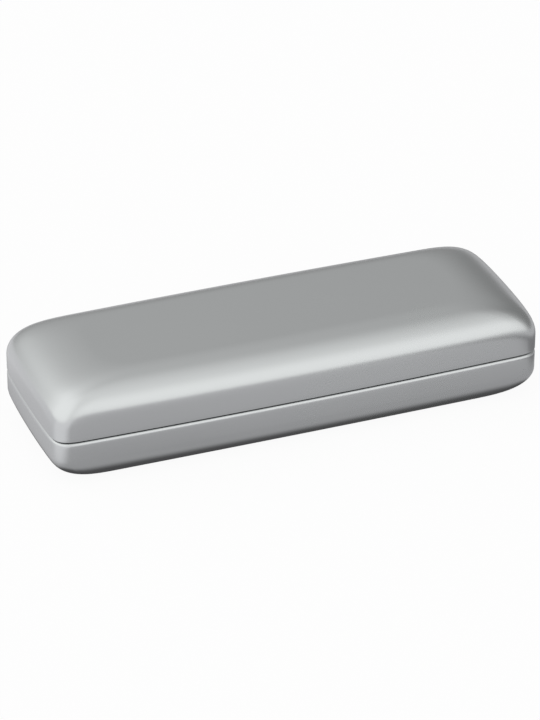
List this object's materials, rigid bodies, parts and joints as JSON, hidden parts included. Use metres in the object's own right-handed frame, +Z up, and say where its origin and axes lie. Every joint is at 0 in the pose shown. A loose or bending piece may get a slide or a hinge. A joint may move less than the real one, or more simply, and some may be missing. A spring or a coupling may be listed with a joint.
{
  "type": "colored pencil tin",
  "caption": "Slim satin metal clamshell pencil case with wide rounded edges, a hinged lid that springs shut, dark lining and a foam bed of hexagonal colored pencils.",
  "frame": {"origin": "middle of the flat bottom face that the case rests on", "axes": "+X along the length of the case, -Y towards the side that opens, +Y towards the hinge, +Z up"},
  "size_m": [0.2, 0.0737, 0.0412],
  "materials": {
    "satin_aluminium": "satin, fine and even",
    "rivet_aluminium": "satin",
    "hinge_steel": "plain bright steel",
    "spring_steel": "drawn wire",
    "dark_plastic": "matt",
    "bed_foam": "soft closed-cell foam",
    "casing_brown": "lacquered, bare wood at the point",
    "core_brown": "waxy pigment",
    "casing_red": "lacquered, bare wood at the point",
    "core_red": "waxy pigment",
    "casing_orange": "lacquered, bare wood at the point",
    "core_orange": "waxy pigment",
    "casing_yellow": "lacquered, bare wood at the point",
    "core_yellow": "waxy pigment",
    "casing_green": "lacquered, bare wood at the point",
    "core_green": "waxy pigment",
    "casing_sky_blue": "lacquered, bare wood at the point",
    "core_sky_blue": "waxy pigment",
    "casing_blue": "lacquered, bare wood at the point",
    "core_blue": "waxy pigment",
    "casing_violet": "lacquered, bare wood at the point",
    "core_violet": "waxy pigment"
  },
  "bodies": {
    "base": {"base_shell": "satin_aluminium", "base_liner": "dark_plastic", "pencil_bed": "bed_foam", "base_hinge_leaf": "hinge_steel", "hinge_pin": "hinge_steel", "base_rivets": "rivet_aluminium", "spring_left": "spring_steel", "spring_right": "spring_steel"},
    "lid": {"lid_shell": "satin_aluminium", "lid_liner": "dark_plastic", "lid_pad": "bed_foam", "lid_hinge_leaf": "hinge_steel", "lid_rivets": "rivet_aluminium"},
    "pencil_1": {"pencil_1_casing": "casing_brown", "pencil_1_core": "core_brown"},
    "pencil_2": {"pencil_2_casing": "casing_red", "pencil_2_core": "core_red"},
    "pencil_3": {"pencil_3_casing": "casing_orange", "pencil_3_core": "core_orange"},
    "pencil_4": {"pencil_4_casing": "casing_yellow", "pencil_4_core": "core_yellow"},
    "pencil_5": {"pencil_5_casing": "casing_green", "pencil_5_core": "core_green"},
    "pencil_6": {"pencil_6_casing": "casing_sky_blue", "pencil_6_core": "core_sky_blue"},
    "pencil_7": {"pencil_7_casing": "casing_blue", "pencil_7_core": "core_blue"},
    "pencil_8": {"pencil_8_casing": "casing_violet", "pencil_8_core": "core_violet"}
  },
  "joints": [
    {"name": "lid_hinge", "type": "hinge", "parent": "base", "child": "lid", "pos_m": [0, 0.03704, 0.01985], "axis": [-1, 0, 0], "range_deg": [0, 115], "stiffness_Nm_per_rad": 0.03, "springref_deg": -45.84, "deforming": ["spring_left", "spring_right"]},
    {"name": "pencil_1_lift", "type": "slide", "parent": "base", "child": "pencil_1", "axis": [0, 0, 1], "range_m": [0, 0.0065]},
    {"name": "pencil_2_lift", "type": "slide", "parent": "base", "child": "pencil_2", "axis": [0, 0, 1], "range_m": [0, 0.0065]},
    {"name": "pencil_3_lift", "type": "slide", "parent": "base", "child": "pencil_3", "axis": [0, 0, 1], "range_m": [0, 0.0065]},
    {"name": "pencil_4_lift", "type": "slide", "parent": "base", "child": "pencil_4", "axis": [0, 0, 1], "range_m": [0, 0.0065]},
    {"name": "pencil_5_lift", "type": "slide", "parent": "base", "child": "pencil_5", "axis": [0, 0, 1], "range_m": [0, 0.0065]},
    {"name": "pencil_6_lift", "type": "slide", "parent": "base", "child": "pencil_6", "axis": [0, 0, 1], "range_m": [0, 0.0065]},
    {"name": "pencil_7_lift", "type": "slide", "parent": "base", "child": "pencil_7", "axis": [0, 0, 1], "range_m": [0, 0.0065]},
    {"name": "pencil_8_lift", "type": "slide", "parent": "base", "child": "pencil_8", "axis": [0, 0, 1], "range_m": [0, 0.0065]}
  ]
}
